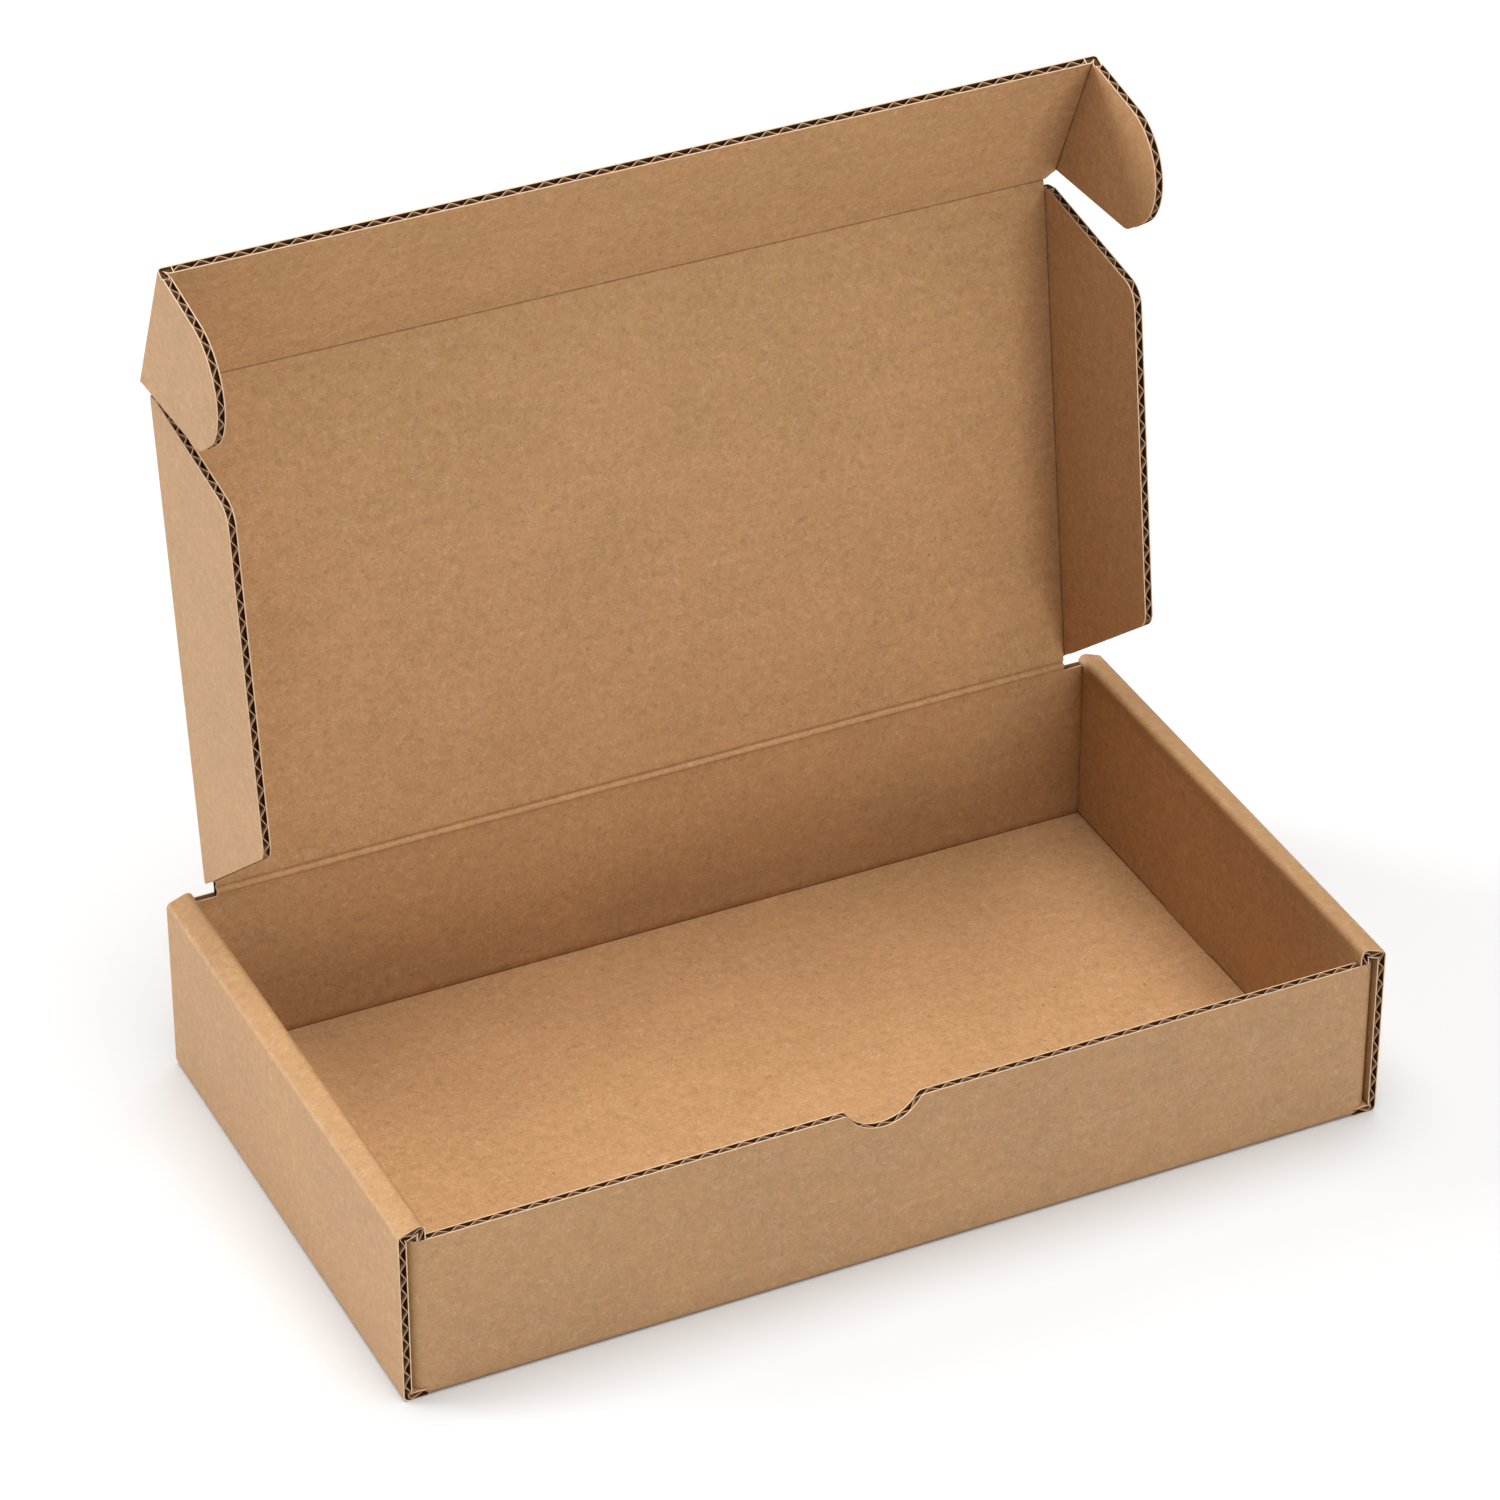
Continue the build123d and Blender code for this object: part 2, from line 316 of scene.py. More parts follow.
def kraft_group():
    """Kraft paper's mottling, fibres and flecks, with painted shade of the washboard ripples over
    the flutes, as a colour, a roughness and a height.
    """
    group, start, end = node_group(
        "Kraft paper", "ShaderNodeTree",
        [("Colour", COLOUR, (0.5, 0.3, 0.16, 1)), ("Grain", FLOAT, 1.0), ("Fibres", FLOAT, 1.0),
         ("Streaks", FLOAT, 1.0)],
        [("Colour", COLOUR), ("Roughness", FLOAT), ("Height", FLOAT)],
    )
    wire = Wiring(group)
    fibrous = start.outputs["Fibres"]
    place = wire.add("ShaderNodeTexCoord").outputs["Object"]
    fine = wire.noise(place, scale=1200.0, roughness=0.7)
    mottle = wire.noise(place, scale=360.0, detail=4.0, roughness=0.62, distortion=0.8)
    cloud = wire.noise(place, scale=30.0, roughness=0.5)
    # Painted shade: bands along X that lighten and darken the colour as washboard ripples over the
    # flutes would be lit; they do not feed the height
    washboard_shade_noise = wire.noise(wire.stretch(place, (14.0, 230.0, 230.0)), scale=1.0, roughness=0.55)
    # Each part moves the brightness up and down about 1
    brightness = 1.0
    for noise, share, control in ((fine, 0.30, "Grain"), (mottle, 0.34, "Grain"),
                                  (cloud, 0.13, "Grain"), (washboard_shade_noise, 0.12, "Streaks")):
        swing = wire.times(wire.minus(noise, 0.5), share)
        brightness = wire.plus(brightness, wire.times(swing, start.outputs[control]))
    # Curled fibres run where a slow noise crosses its middle value
    fibres = []
    for scale, shift in FIBRE_LAYERS:
        moved = wire.vector("ADD", place, (shift, shift, shift))
        level = wire.noise(moved, scale, detail=1.5, roughness=0.5, distortion=1.4)
        middle = wire.math("ABSOLUTE", wire.minus(level, 0.5))
        line = wire.ramp(middle, low=0.032, high=0.006)
        gate = wire.noise(moved, scale * 0.8, detail=1.0, roughness=0.5)
        gate = wire.ramp(gate, low=0.48, high=0.60)
        fibres.append(wire.times(line, gate))
    pale = wire.times(wire.math("MAXIMUM", fibres[0], fibres[1]), fibrous)
    dark = wire.times(wire.math("MAXIMUM", fibres[2], fibres[3]), fibrous)
    fleck = wire.noise(wire.stretch(place, (1.0, 0.6, 1.3)), scale=420.0, detail=2.0)
    fleck = wire.times(wire.ramp(fleck, low=0.735, high=0.775), fibrous)
    shaded = wire.vector("MULTIPLY", start.outputs["Colour"], brightness)
    for mask, share, tint in ((pale, 0.18, PALE_FIBRE), (dark, 0.30, DARK_FIBRE),
                              (fleck, 0.5, FLECK)):
        shaded = wire.mix(wire.times(mask, share), shaded, tint)
    wire.feed(end.inputs["Colour"], shaded)
    wire.feed(end.inputs["Roughness"], wire.plus(0.72, wire.times(fine, 0.22)))
    relief = wire.plus(wire.times(fine, 0.35), wire.times(mottle, 0.5))
    relief = wire.plus(relief, wire.times(wire.minus(pale, dark), 0.12))
    wire.feed(end.inputs["Height"], relief)


def paper_material(name, base, grain, fibres=1.0, washboard_shade_strength=1.0, shine=0.1, roughness=0.0):
    """A kraft paper material in one base colour; roughness is added to the paper's own."""
    material = bpy.data.materials.new(name)
    material.use_nodes = True
    wire = Wiring(material.node_tree)
    shader = material.node_tree.nodes["Principled BSDF"]
    paper = wire.add("ShaderNodeGroup", node_tree=bpy.data.node_groups["Kraft paper"])
    for label, value in (("Colour", (*base, 1)), ("Grain", grain), ("Fibres", fibres),
                         ("Streaks", washboard_shade_strength)):
        wire.feed(paper.inputs[label], value)
    relief = wire.add("ShaderNodeBump", {"Strength": 0.4, "Distance": 0.00012,
                                         "Height": paper.outputs["Height"]})
    wire.feed(shader.inputs["Base Color"], paper.outputs["Colour"])
    wire.feed(shader.inputs["Roughness"], wire.plus(paper.outputs["Roughness"], roughness))
    wire.feed(shader.inputs["Normal"], relief.outputs["Normal"])
    shader.inputs["Specular IOR Level"].default_value = shine
    material.diffuse_color = (*base, 1)


# Outlines and planes


def plane_of(origin, local_x, local_y, inner):
    """The matrix that puts a panel's own plane in the frame."""
    columns = Matrix((local_x, local_y, inner)).transposed().to_4x4()
    columns.translation = origin
    return columns


# The lid's plane and the tuck flap's: local Y runs up from the crease
LID_PLANE = plane_of(HINGE_LINE, X_AXIS, LID_UP, LID_INNER)
TUCK_PLANE = plane_of(TUCK_LINE, X_AXIS, TUCK_UP, TUCK_INNER)


def end_flaps():
    """The side flaps and the ears: body, the body it folds from, CAD node and plane.

    In the plane local X leaves the crease and local Y runs along it.
    """
    for side, word in SIDES:
        outwards = side * X_AXIS
        lid_side = plane_of(HINGE_LINE + SIDE_CREASE * outwards, LID_INNER, LID_UP, -outwards)
        yield f"side_flap_{word}", "lid", f"lid_side_flap_{word}", lid_side
        tuck_end = plane_of(TUCK_LINE + EAR_CREASE * outwards, TUCK_INNER, TUCK_UP, -outwards)
        yield f"ear_{word}", "tuck_flap", f"ear_{word}", tuck_end


def sides_of(outline):
    """Each point of an outline with the next one."""
    return zip(outline, outline[1:] + outline[:1])


def cad_outline(node, plane):
    """The outline of a flat CAD panel in its own plane, counter-clockwise."""
    half = bpy.context.scene.mailer_board.thickness / 2
    to_plane = plane.inverted()
    local = [to_plane @ vertex.co for vertex in frame["nodes"][node].data.vertices]
    flat = [p.to_2d() for p in local if abs(abs(p.z) - half) < SAME_POINT / 2]
    outline = [flat[i] for i in geometry.convex_hull_2d(flat)]
    if sum(a.cross(b) for a, b in sides_of(outline)) < 0:
        outline.reverse()
    return tidy_outline(outline)


def tidy_outline(outline):
    """Leaves out points that repeat or lie in line."""
    kept = []
    for point in outline:
        if not kept or (point - kept[-1]).length > SAME_POINT:
            kept.append(point)
    if (kept[0] - kept[-1]).length < SAME_POINT:
        kept.pop()
    corners = []
    for i, point in enumerate(kept):
        before = (point - kept[i - 1]).normalized()
        after = (kept[(i + 1) % len(kept)] - point).normalized()
        if abs(before.cross(after)) > IN_LINE or before.dot(after) < 0:
            corners.append(point)
    return corners


def clip(outline, axis, limit, keep_above):
    """The part of an outline on one side of the line where local X or Y is limit."""
    sign = 1 if keep_above else -1
    result = []
    for point, other in sides_of(outline):
        here, there = sign * (point[axis] - limit), sign * (other[axis] - limit)
        if here >= 0:
            result.append(point)
        if here * there < 0:
            result.append(point.lerp(other, here / (here - there)))
    return tidy_outline(result)


def span_at(outline, x):
    """Lowest and highest local Y of an outline at one local X."""
    hits = []
    for point, other in sides_of(outline):
        if (point.x - x) * (other.x - x) <= 0 and abs(point.x - other.x) > MERGE:
            hits.append(point.lerp(other, (x - point.x) / (other.x - point.x)).y)
    return min(hits), max(hits)


def inset(outline, depths):
    """The outline moved inwards by depths[i] at its edge from point i to point i + 1."""
    count = len(outline)
    result = []
    for i, point in enumerate(outline):
        before = (point - outline[i - 1]).normalized()
        after = (outline[(i + 1) % count] - point).normalized()
        in_before, in_after = Vector((-before.y, before.x)), Vector((-after.y, after.x))
        depth_before, depth_after = depths[i - 1], depths[i]
        turn = before.cross(after)
        if abs(turn) < STRAIGHT_ON:
            result.append(point + in_after * (depth_before + depth_after) / 2)
            continue
        along = (depth_after - depth_before * in_before.dot(in_after)) / in_after.dot(before)
        result.append(point + in_before * depth_before + before * along)
    return result


# Board


class BoardMaker:
    """Collects one body's board as closed shells, and the paths of its cut edges."""

    def __init__(self, name):
        self.name = name
        self.mesh = bmesh.new()
        self.raw = []
        board = bpy.context.scene.mailer_board
        self.half = board.thickness / 2
        self.core = self.half - board.liner
        self.depth = board.flute_depth

    def absorb(self, shell):
        """Adds a shell with its faces pointing outwards."""
        bmesh.ops.remove_doubles(shell, verts=shell.verts, dist=MERGE)
        bmesh.ops.dissolve_degenerate(shell, edges=shell.edges, dist=MERGE)
        bmesh.ops.recalc_face_normals(shell, faces=shell.faces)
        part = bpy.data.meshes.new("shell")
        shell.to_mesh(part)
        shell.free()
        self.mesh.from_mesh(part)
        bpy.data.meshes.remove(part)

    def flat(self, outline, plane, is_raw=lambda middle: False):
        """A flat board; edges for which is_raw(middle) is true show their flutes."""
        outline = [Vector(point) for point in outline]
        count = len(outline)
        raw = [is_raw((a + b) / 2) for a, b in sides_of(outline)]
        inner_outline = inset(outline, [self.depth if flag else 0.0 for flag in raw])
        shell = bmesh.new()

        def ring(points, height):
            return [shell.verts.new(plane @ Vector((p.x, p.y, height))) for p in points]

        rings = [ring(outline, self.half), ring(outline, self.core),
                 ring(inner_outline, self.core), ring(inner_outline, -self.core),
                 ring(outline, -self.core), ring(outline, -self.half)]
        shell.faces.new(rings[0]).material_index = INNER
        shell.faces.new(rings[5]).material_index = OUTER
        # Round each edge: the liners' cut faces, and in a cut edge's recess the painted flute shade
        for level, kind in enumerate(EDGE_PAPERS):
            for i in range(count):
                j = (i + 1) % count
                face = shell.faces.new((rings[level][i], rings[level][j],
                                        rings[level + 1][j], rings[level + 1][i]))
                face.material_index = kind
        self.absorb(shell)
        self.follow_raw(outline, raw, plane)

    def follow_raw(self, outline, raw, plane):
        """Notes each run of cut edges round an outline for the flutes."""
        count = len(outline)
        if not any(raw):
            return
        first = next(i for i in range(count) if raw[i] and not raw[i - 1])
        order = [(first + k) % count for k in range(count)]
        turn = plane.to_3x3()
        across = turn @ Z_AXIS
        run = []
        for i in order:
            if raw[i]:
                run.append(i)
            if run and (not raw[i] or i == order[-1]):
                corners = [outline[k] for k in run] + [outline[(run[-1] + 1) % count]]
                before, after = corners[:1] + corners[:-1], corners[1:] + corners[-1:]
                ways = [(b - a).normalized() for a, b in zip(before, after)]
                inward = [turn @ Vector((-way.y, way.x, 0)) for way in ways]
                points = [plane @ Vector((p.x, p.y, 0)) for p in corners]
                self.raw.append(RawPath(points, [across] * len(points), inward))
                run = []

    def folded(self, corners, plane, start, end, bend, raw_start=False, raw_end=False):
        """A board bent along a line of outer corners and drawn out along local Z from start to end.

        The line turns left at each corner, with bend as its radius, and the board lies to its left.
        """
        board = bpy.context.scene.mailer_board
        full = board.thickness
        outer_line = [Vector(c) for c in corners]
        inner_line = side_line(outer_line, full)
        outer = cornered_line(outer_line, lambda *corner: arc(bend, *corner))
        inner = cornered_line(inner_line,
                              lambda *corner: slit(board.slit_width / 2, board.slit_depth, *corner))
        share = board.liner / full
        lines = [outer, [a.lerp(b, share) for a, b in zip(outer, inner)],
                 [b.lerp(a, share) for a, b in zip(outer, inner)], inner]
        shell = bmesh.new()

        def row(points, height):
            return [shell.verts.new(plane @ Vector((p.x, p.y, height))) for p in points]

        ends = []
        cuts = ((start, raw_start, 1), (end, raw_end, -1))
        for height, is_raw, step in cuts:
            deep = height + step * self.depth if is_raw else height
            ends.append([row(lines[0], height), row(lines[1], height), row(lines[1], deep),
                         row(lines[2], deep), row(lines[2], height), row(lines[3], height)])
        steps = len(outer) - 1
        # Round each end: the liners' cut faces, and in a cut end's recess the painted flute shade
        strips = [(rows[level], rows[level + 1], kind)
                  for rows in ends for level, kind in enumerate(EDGE_PAPERS)]
        strips += [(ends[0][0], ends[1][0], OUTER), (ends[0][5], ends[1][5], INNER)]
        for first, second, kind in strips:
            for i in range(steps):
                face = shell.faces.new((first[i], first[i + 1], second[i + 1], second[i]))
                face.material_index = kind
        for i in (0, steps):
            loop = [rows[i] for rows in ends[0]] + [rows[i] for rows in reversed(ends[1])]
            shell.faces.new(loop).material_index = CUT
        self.absorb(shell)
        turn = plane.to_3x3()
        across = [turn @ (b - a).normalized().to_3d() for a, b in zip(outer, inner)]
        middle = [(a + b) / 2 for a, b in zip(outer, inner)]
        for height, is_raw, step in cuts:
            if is_raw:
                points = [plane @ Vector((p.x, p.y, height)) for p in middle]
                self.raw.append(RawPath(points, across, [turn @ (Z_AXIS * step)] * len(points)))

    def finish(self, body, node):
        """Turns the shells into the body's board piece, with the flutes of its cut edges."""
        mesh = bpy.data.meshes.new(self.name)
        self.mesh.to_mesh(mesh)
        self.mesh.free()
        piece = board_object(self.name, mesh)
        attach(piece, body)
        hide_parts(node)
        if self.raw:
            add_flutes(self, body)


def board_object(name, mesh):
    """Links a board mesh with its papers, smooth round bends and sharp at edges."""
    for paper in PAPERS:
        mesh.materials.append(bpy.data.materials[paper])
    mesh.shade_smooth()
    mesh.set_sharp_from_angle(angle=SHARP_TURN)
    return linked(name, mesh)


def linked(name, data):
    """A new object in the scene."""
    thing = bpy.data.objects.new(name, data)
    bpy.context.scene.collection.objects.link(thing)
    return thing


def side_line(points, distance):
    """An open line moved to its left by a distance."""
    ways = [(b - a).normalized() for a, b in zip(points, points[1:])]
    lefts = [Vector((-way.y, way.x)) for way in ways]
    moved = []
    for point, before, after in zip(points, lefts[:1] + lefts, lefts + lefts[-1:]):
        left = (before + after).normalized()
        moved.append(point + left * distance / left.dot(before))
    return moved


def arc(radius, point, back, ahead):
    """A round corner between the directions back and ahead."""
    half_angle = back.angle(ahead) / 2
    reach = radius / tan(half_angle)
    centre = point + (back + ahead).normalized() * radius / sin(half_angle)
    first = (point + back * reach - centre).normalized()
    last = (point + ahead * reach - centre).normalized()
    return [centre + first.slerp(last, k / BEND_STEPS) * radius for k in range(BEND_STEPS + 1)]


def slit(reach, depth, point, back, ahead):
    """The pinched inner side of a fold: a thin slit into the board."""
    deep = point - (back + ahead).normalized() * depth
    middle = BEND_STEPS // 2
    down = [(point + back * reach).lerp(deep, k / middle) for k in range(middle + 1)]
    up = [deep.lerp(point + ahead * reach, k / middle) for k in range(1, middle + 1)]
    return down + up


def cornered_line(points, corner):
    """An open line whose corners are all replaced by the same number of points."""
    line = [points[0]]
    for before, point, after in zip(points, points[1:], points[2:]):
        line += corner(point, (before - point).normalized(), (after - point).normalized())
    return line + [points[-1]]


# Flutes in the cut edges


def flute_tree():
    """The wavy medium: a ribbon that weaves between the liners along each cut edge."""
    tree, start, end = node_group(
        "Fluted edge", "GeometryNodeTree",
        [("Geometry", GEOMETRY, None), ("Pitch", FLOAT, 0.0065), ("Crest", FLOAT, 0.001),
         ("Depth", FLOAT, 0.002), ("Steps", FLOAT, 10.0), ("Unevenness", FLOAT, 0.12),
         ("Seed", FLOAT, 4.0), ("Material", "NodeSocketMaterial", None)],
        [("Geometry", GEOMETRY)],
    )
    wire = Wiring(tree)
    given = start.outputs
    curve = wire.add("GeometryNodeMeshToCurve", {"Mesh": given["Geometry"]}).outputs["Curve"]
    step = wire.math("DIVIDE", given["Pitch"], given["Steps"])
    fine = wire.add("GeometryNodeResampleCurve", {"Curve": curve, "Length": step}, mode="LENGTH")
    length = wire.add("GeometryNodeSplineParameter").outputs["Length"]
    place = wire.add("GeometryNodeInputPosition").outputs["Position"]
    uneven = wire.add("ShaderNodeTexNoise", {"Vector": place, "W": given["Seed"],
                                             "Scale": UNEVEN_SCALE, "Detail": 1.0},
                      noise_dimensions="4D")
    shake = wire.times(wire.minus(uneven.outputs["Fac"], 0.5), given["Unevenness"])
    turns = wire.plus(wire.math("DIVIDE", length, given["Pitch"]), wire.times(shake, 2.0))
    wave = wire.math("SINE", wire.times(turns, 2 * pi))
    wave = wire.math("ARCSINE", wire.times(wave, ZIGZAG))
    wave = wire.math("DIVIDE", wave, asin(ZIGZAG))
    height = wire.times(wave, given["Crest"])

    def named(name):
        node = wire.add("GeometryNodeInputNamedAttribute", {"Name": name}, data_type="FLOAT_VECTOR")
        return node.outputs["Attribute"]

    ragged = wire.times(wire.plus(shake, STAND_BACK), given["Crest"])
    shift = wire.vector("ADD", wire.vector("MULTIPLY", named("across"), height),
                        wire.vector("MULTIPLY", named("inward"), ragged))
    woven = wire.add("GeometryNodeSetPosition", {"Geometry": fine.outputs["Curve"],
                                                 "Offset": shift})
    edges = wire.add("GeometryNodeCurveToMesh", {"Curve": woven.outputs["Geometry"]})
    ribbon = wire.add("GeometryNodeExtrudeMesh", {"Mesh": edges.outputs["Mesh"],
                                                  "Offset": named("inward"),
                                                  "Offset Scale": given["Depth"]}, mode="EDGES")
    real = wire.add("GeometryNodeRealizeInstances", {"Geometry": ribbon.outputs["Mesh"]})
    paint = wire.add("GeometryNodeSetMaterial", {"Geometry": real.outputs["Geometry"],
                                                 "Material": given["Material"]})
    wire.feed(end.inputs["Geometry"], paint.outputs["Geometry"])


def add_flutes(maker, body):
    """Weaves the medium along a body's cut edges and bakes it to a plain mesh."""
    board, paper = bpy.context.scene.mailer_board, bpy.context.scene.mailer_paper
    points, edges, across, inward = [], [], [], []
    for path in maker.raw:
        first = len(points)
        points += path.points
        across += path.across
        inward += path.inward
        edges += [(first + i, first + i + 1) for i in range(len(path.points) - 1)]
    guide = bpy.data.meshes.new("cut edges")
    guide.from_pydata(points, edges, [])
    for name, vectors in (("across", across), ("inward", inward)):
        attribute = guide.attributes.new(name, "FLOAT_VECTOR", "POINT")
        attribute.data.foreach_set("vector", [value for vector in vectors for value in vector])
    worker = linked("flute worker", guide)
    tree = bpy.data.node_groups["Fluted edge"]
    weave = worker.modifiers.new("Fluted edge", "NODES")
    weave.node_group = tree
    values = {"Pitch": board.flute_pitch, "Crest": maker.core - board.medium / 2,
              "Depth": board.flute_depth, "Seed": float(paper.seed),
              "Material": bpy.data.materials["Medium"]}
    for socket in tree.interface.items_tree:
        if socket.in_out == "INPUT" and socket.name in values:
            weave[socket.identifier] = values[socket.name]
    thicken = worker.modifiers.new("Thickness", "SOLIDIFY")
    thicken.thickness = board.medium
    thicken.offset = 0
    evaluated = worker.evaluated_get(bpy.context.evaluated_depsgraph_get())
    mesh = bpy.data.meshes.new_from_object(evaluated)
    worker.modifiers.clear()
    bpy.data.objects.remove(worker)
    mesh.shade_flat()
    mesh.name = maker.name.replace("board", "flutes")
    piece = linked(mesh.name, mesh)
    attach(piece, body)


# Creases


def crease_lines(fold, bumps):
    """A crease's cross-section: (s, point) along its inner face and along its outer face.

    s runs along the middle of the board, below zero on the first panel and above it on
    the second. bumps are (centre, width, height) ridges and grooves of the inner face.
    """
    board = bpy.context.scene.mailer_board
    half = board.thickness / 2
    steep = abs(fold) > STEEP_FOLD
    corner = half * tan(abs(fold) / 2)
    ahead, second_inner = Vector((cos(fold), sin(fold))), Vector((-sin(fold), cos(fold)))

    def place(s, height):
        return Vector((s, height)) if s <= 0 else ahead * s + second_inner * height

    def relief(s):
        return sum(height * 2 ** -(((s - centre) / width) ** 2) for centre, width, height in bumps)

    def face(side):
        before = [-board.crease_reach * share for share in CREASE_SHARES]
        after = [-s for s in reversed(before)]
        middle = [(0.0, Vector((0, side * half)))]
        if steep and side * fold > 0:
            edge, height = corner + board.slit_width / 2, side * half
            before, after = [s for s in before if s < -edge], [s for s in after if s > edge]
            pinch = place(-corner, height)
            deep = pinch - pinch.normalized() * board.slit_depth
            middle = [(-edge, place(-edge, height)), (0.0, deep), (edge, place(edge, height))]
        elif steep:
            turns = [fold * k / CREASE_STEPS for k in range(CREASE_STEPS + 1)]
            middle = [(0.0, Vector((-sin(turn), cos(turn))) * side * half) for turn in turns]
        shape = relief if side > 0 and not steep else lambda s: 0.0
        middle = [(s, point + Vector((0, shape(s)))) for s, point in middle]
        flats = [[(s, place(s, side * half + shape(s))) for s in run] for run in (before, after)]
        return flats[0] + middle + flats[1]

    return face(1), face(-1)


def crease_piece(name, plane, fold, span, bumps=()):
    """The softened board that turns between two panels, with one end on each.

    plane has local X along the first panel towards the crease, local Z to its inner
    side and local Y along the crease. fold is how far the second panel is bent towards
    the inner side. span(s) gives the crease's two ends at s from its middle line.
    """
    board = bpy.context.scene.mailer_board
    inner_line, outer_line = crease_lines(fold, bumps)
    loop = [(s, point, INNER) for s, point in inner_line]
    loop += [(s, point, OUTER) for s, point in reversed(outer_line)]
    if sum(a[1].cross(b[1]) for a, b in sides_of(loop)) < 0:
        loop.reverse()
    points = [point for _, point, _ in loop]
    core = inset(points, [board.liner] * len(points))
    shell = bmesh.new()

    def ring(section, end, step):
        return [shell.verts.new(plane @ Vector((point.x, span(s)[end] + step, point.y)))
                for (s, _, _), point in zip(loop, section)]

    low, high = ring(points, 0, 0.0), ring(points, 1, 0.0)
    # The crease's ends are recessed between the liners, and the recess is painted with the flute
    # shade
    recess = board.liner * 2
    hollows = [(rim, ring(core, end, 0.0), ring(core, end, step))
               for rim, end, step in ((low, 0, recess), (high, 1, -recess))]
    for i in range(len(loop)):
        j = (i + 1) % len(loop)
        kind = loop[i][2] if loop[i][2] == loop[j][2] else CUT
        shell.faces.new((low[i], low[j], high[j], high[i])).material_index = kind
        for rim, mouth, floor in hollows:
            shell.faces.new((rim[i], rim[j], mouth[j], mouth[i])).material_index = CUT
            shell.faces.new((mouth[i], mouth[j], floor[j], floor[i])).material_index = PAINTED_HOLLOW_SHADE
    for _, _, floor in hollows:
        shell.faces.new(floor).material_index = PAINTED_HOLLOW_SHADE
    bmesh.ops.recalc_face_normals(shell, faces=shell.faces)
    mesh = bpy.data.meshes.new(name)
    shell.to_mesh(mesh)
    shell.free()
    piece = board_object(name, mesh)
    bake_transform(piece)


# The pieces


def make_tray():
    """Base, walls, rolled sides, corner tabs and lock tabs."""
    board, tray = bpy.context.scene.mailer_board, bpy.context.scene.mailer_tray
    maker = BoardMaker("tray_board")
    half_length, front, back = TRAY_HIGH.x, TRAY_LOW.y, TRAY_HIGH.y
    thick, bend = board.thickness, board.fold_outside
    roll_inside = half_length - tray.roll_width
    wall_end = half_length - (tray.roll_width - thick) / 2
    straight = wall_end - bend - thick

    # The base and the bends up into the front and back walls, as far as the lock tabs' slots
    slot_inside = roll_inside - tray.slot_clearance
    slot_outside = roll_inside + thick + tray.slot_clearance
    slot_half = tray.lock_tab_width / 2 + tray.slot_clearance
    slot_front, slot_back = tray.lock_tab_centre - slot_half, tray.lock_tab_centre + slot_half
    front_bend = [(front, tray.bend_height), (front, 0)]
    back_bend = [(back, 0), (back, tray.bend_height)]
    along_x = plane_of(Vector(), Y_AXIS, Z_AXIS, X_AXIS)
    maker.folded(front_bend + back_bend, along_x, -slot_inside, slot_inside, bend)

    # Front wall, with the thumb notch
    front_plane = plane_of(Vector((0, front + thick / 2, 0)), X_AXIS, Z_AXIS, Y_AXIS)
    outline = [(-straight, tray.bend_height), (straight, tray.bend_height),
               (straight, tray.front_height), *notch_line(tray), (-straight, tray.front_height)]
    low, wide = tray.bend_height + thick, straight - thick / 2
    maker.flat(outline, front_plane, lambda middle: middle.y > low and abs(middle.x) < wide)

    # Back wall, left open where the lid's crease begins
    back_plane = plane_of(Vector((0, back - thick / 2, 0)), X_AXIS, Z_AXIS, -Y_AXIS)
    beside_roll = roll_inside - board.gap
    right_side = [(straight, tray.bend_height), (straight, tray.front_height),
                  (beside_roll, tray.front_height), (beside_roll, tray.back_height),
                  (LID_HALF_WIDTH, tray.back_height),
                  (LID_HALF_WIDTH, HINGE_LINE.z - board.crease_reach)]
    maker.flat(right_side + [(-x, z) for x, z in reversed(right_side)], back_plane)

    foot = tray.front_height + board.gap
    roll = [(half_length, 0), (half_length, tray.side_height),
            (roll_inside, tray.side_height + tray.spine_rise), (roll_inside, foot)]
    inner_middle, inner_low = roll_inside + thick / 2, thick + board.panel_gap
    inner_end = back - thick - board.panel_gap
    lock_front = tray.lock_tab_centre - tray.lock_tab_width / 2
    lock_back = tray.lock_tab_centre + tray.lock_tab_width / 2
    for side, _ in SIDES:
        mirrored = Matrix.Diagonal((side, 1, 1, 1))
        # Rolled side wall: outer panel, spine and the top of the inner panel, past the slot
        along_y = mirrored @ plane_of(Vector(), X_AXIS, Z_AXIS, Y_AXIS)
        maker.folded([(straight, 0)] + roll, along_y, front, slot_front, bend, raw_start=True)
        maker.folded([(slot_outside, 0)] + roll, along_y, slot_front, slot_back, bend)
        maker.folded([(straight, 0)] + roll, along_y, slot_back, back, bend, raw_end=True)
        # The base's ends in front of the slot and behind it
        beside = mirrored @ along_x
        maker.folded(front_bend + [(slot_front, 0)], beside, slot_inside, straight, bend)
        maker.folded([(slot_back, 0)] + back_bend, beside, slot_inside, straight, bend)
        # Inner panel, and its lock tab down through the slot
        inner_plane = mirrored @ plane_of(X_AXIS * inner_middle, Y_AXIS, Z_AXIS, -X_AXIS)
        maker.flat(rectangle(-inner_end, inner_low, inner_end, foot), inner_plane)
        # Corner tabs, turned back inside the side wall
        for end in (-1, 1):
            cornered = Matrix.Diagonal((side, -end, 1, 1))
            tab = [(straight, front), (wall_end, front), (wall_end, front + tray.corner_tab_length)]
            maker.folded(tab, cornered, thick + board.gap, tray.front_height, board.tab_bend,
                         raw_end=True)
        maker.flat(rectangle(lock_front, board.gap, lock_back, inner_low), inner_plane,
                   lambda middle: middle.y < 2 * board.gap)
    maker.finish("tray", "tray")


def rectangle(left, low, right, high):
    """A rectangular outline, counter-clockwise."""
    return [(left, low), (right, low), (right, high), (left, high)]


